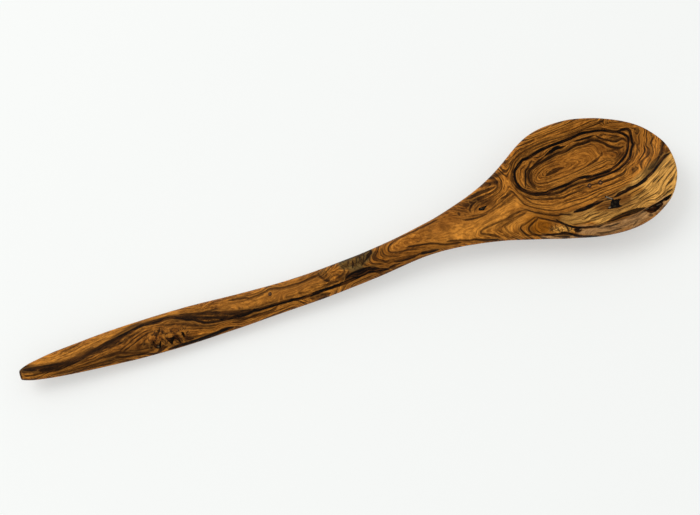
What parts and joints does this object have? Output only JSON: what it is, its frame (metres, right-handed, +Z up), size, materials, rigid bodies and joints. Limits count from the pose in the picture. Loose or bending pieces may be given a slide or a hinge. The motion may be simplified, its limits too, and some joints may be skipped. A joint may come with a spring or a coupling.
{
  "type": "wooden spoon",
  "caption": "Long one-piece olive wood cooking spoon with an egg-shaped scooped bowl, an arched neck and a slim, slightly bent handle that turns up at its end.",
  "frame": {"origin": "on the table, at the middle of the flat spot under the bowl", "axes": "+X along the spoon towards the bowl's nose, +Z up out of the hollow, +Y to the side away from the handle's bend"},
  "size_m": [0.3223, 0.0645, 0.0176],
  "materials": {
    "olive_wood": "oiled, satin",
    "black_fill": "cured black resin, rubbed flush",
    "knot_wood": "dense end grain, oiled",
    "bark": "dark inclusion, dull"
  },
  "bodies": {
    "root": {"spoon_body": "olive_wood", "bowl_knot_fill": "black_fill", "neck_knot_fill": "black_fill", "bowl_pin_knots": "knot_wood", "handle_pin_knot": "knot_wood", "handle_bark_pockets": "bark", "rim_bark_pocket": "bark"}
  },
  "joints": []
}
